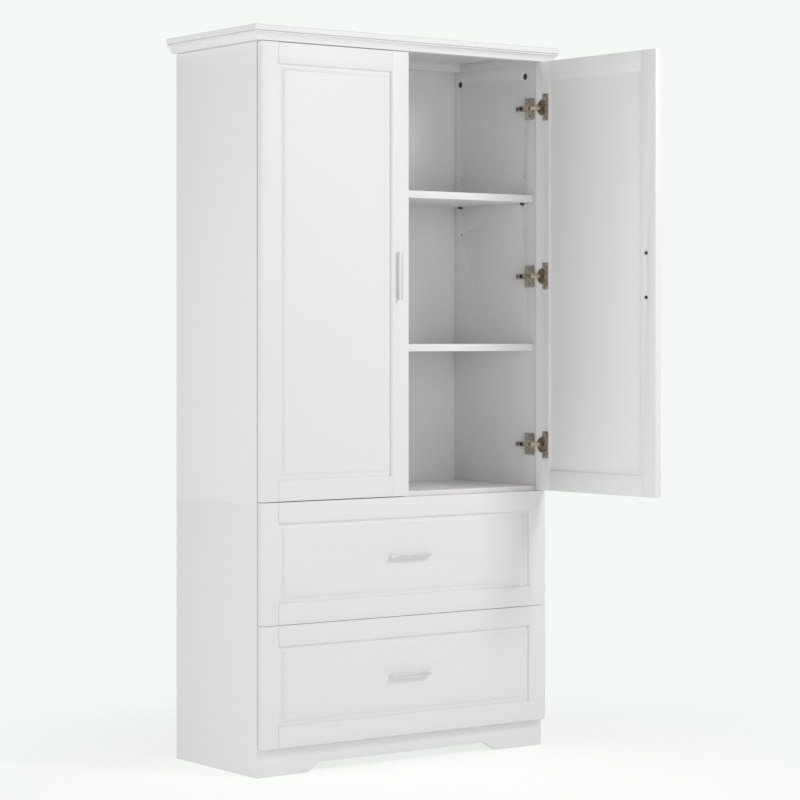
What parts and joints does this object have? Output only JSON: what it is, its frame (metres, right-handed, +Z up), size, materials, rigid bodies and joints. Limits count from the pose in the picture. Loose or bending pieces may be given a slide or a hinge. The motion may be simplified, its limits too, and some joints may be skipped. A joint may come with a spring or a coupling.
{
  "type": "pantry cabinet",
  "caption": "white freestanding pantry cabinet: framed doors over shelf bays, framed drawers below on ball-bearing slides, arched plinth and projecting moulded crown",
  "frame": {"origin": "on the floor, below the middle of the whole cabinet's box with its right door standing open; the case's front edges are 34 mm behind it", "axes": "X along the front (the closed door is at -X, the open one at +X), Y from front to back, Z up"},
  "size_m": [0.8225, 0.7122, 1.58],
  "materials": {
    "white_board": "smooth white matt foil on board",
    "drawer_board": "white melamine-faced board",
    "thin_board": "thin white painted hardboard",
    "handle_white": "white satin paint on cast metal",
    "hinge_metal": "dull warm nickel plate",
    "slide_steel": "zinc-plated sheet steel",
    "dark_metal": "dark zinc-plated steel"
  },
  "bodies": {
    "case": {"cam_locks": "dark_metal", "case_slide_members": "slide_steel", "crown_batten": "white_board", "crown_strip_front": "white_board", "crown_strip_left": "white_board", "crown_strip_right": "white_board", "crown_top": "white_board", "fixed_shelf": "white_board", "hinge_arms": "hinge_metal", "hinge_plates": "hinge_metal", "hinge_screws": "dark_metal", "loose_shelf": "white_board", "lower_back": "thin_board", "lower_floor": "white_board", "lower_side_left": "white_board", "lower_side_right": "white_board", "lower_stretchers": "white_board", "plinth": "white_board", "shelf_pins": "dark_metal", "upper_back": "thin_board", "upper_floor": "white_board", "upper_side_left": "white_board", "upper_side_right": "white_board"},
    "left_door": {"left_door_stiles": "white_board", "left_door_rails": "white_board", "left_door_panel": "white_board", "left_door_handle": "handle_white", "left_door_handle_screws": "dark_metal", "left_door_hinge_cups": "hinge_metal"},
    "right_door": {"right_door_stiles": "white_board", "right_door_rails": "white_board", "right_door_panel": "white_board", "right_door_handle": "handle_white", "right_door_handle_screws": "dark_metal", "right_door_hinge_cups": "hinge_metal"},
    "left_links": {"left_hinge_links": "hinge_metal"},
    "right_links": {"right_hinge_links": "hinge_metal"},
    "upper_drawer": {"upper_drawer_stiles": "white_board", "upper_drawer_rails": "white_board", "upper_drawer_panel": "white_board", "upper_drawer_handle": "handle_white", "upper_drawer_handle_screws": "dark_metal", "upper_drawer_box_side_left": "drawer_board", "upper_drawer_box_side_right": "drawer_board", "upper_drawer_box_back": "drawer_board", "upper_drawer_box_bottom": "thin_board", "upper_drawer_slide_members": "slide_steel"},
    "lower_drawer": {"lower_drawer_stiles": "white_board", "lower_drawer_rails": "white_board", "lower_drawer_panel": "white_board", "lower_drawer_handle": "handle_white", "lower_drawer_handle_screws": "dark_metal", "lower_drawer_box_side_left": "drawer_board", "lower_drawer_box_side_right": "drawer_board", "lower_drawer_box_back": "drawer_board", "lower_drawer_box_bottom": "thin_board", "lower_drawer_slide_members": "slide_steel"},
    "upper_cages": {"upper_drawer_ball_cages": "slide_steel"},
    "lower_cages": {"lower_drawer_ball_cages": "slide_steel"}
  },
  "joints": [
    {"name": "left_door_hinge", "type": "hinge", "parent": "case", "child": "left_door", "pos_m": [-0.37575, 0.01825, 1.06325], "axis": [0, 0, 1], "range_deg": [-105, 0]},
    {"name": "right_door_hinge", "type": "hinge", "parent": "case", "child": "right_door", "pos_m": [0.37575, 0.01825, 1.06325], "axis": [0, 0, 1], "range_deg": [-93.4, 11.6]},
    {"name": "left_link_pivot", "type": "hinge", "parent": "case", "child": "left_links", "pos_m": [-0.352, 0.0271, 1.06325], "axis": [0, 0, 1], "range_deg": [-0.5, 47.5]},
    {"name": "right_link_pivot", "type": "hinge", "parent": "case", "child": "right_links", "pos_m": [0.352, 0.0271, 1.06325], "axis": [0, 0, 1], "range_deg": [-5.7, 42.2]},
    {"name": "upper_drawer_slide", "type": "slide", "parent": "case", "child": "upper_drawer", "axis": [0, -1, 0], "range_m": [0, 0.215]},
    {"name": "lower_drawer_slide", "type": "slide", "parent": "case", "child": "lower_drawer", "axis": [0, -1, 0], "range_m": [0, 0.215]},
    {"name": "upper_cage_roll", "type": "slide", "parent": "case", "child": "upper_cages", "axis": [0, -1, 0], "range_m": [0, 0.108]},
    {"name": "lower_cage_roll", "type": "slide", "parent": "case", "child": "lower_cages", "axis": [0, -1, 0], "range_m": [0, 0.108]}
  ],
  "couplings": [
    {"joint": "left_link_pivot", "follows": "left_door_hinge", "ratio": -0.447},
    {"joint": "right_link_pivot", "follows": "right_door_hinge", "ratio": -0.447},
    {"joint": "upper_cage_roll", "follows": "upper_drawer_slide", "ratio": 0.5},
    {"joint": "lower_cage_roll", "follows": "lower_drawer_slide", "ratio": 0.5}
  ]
}
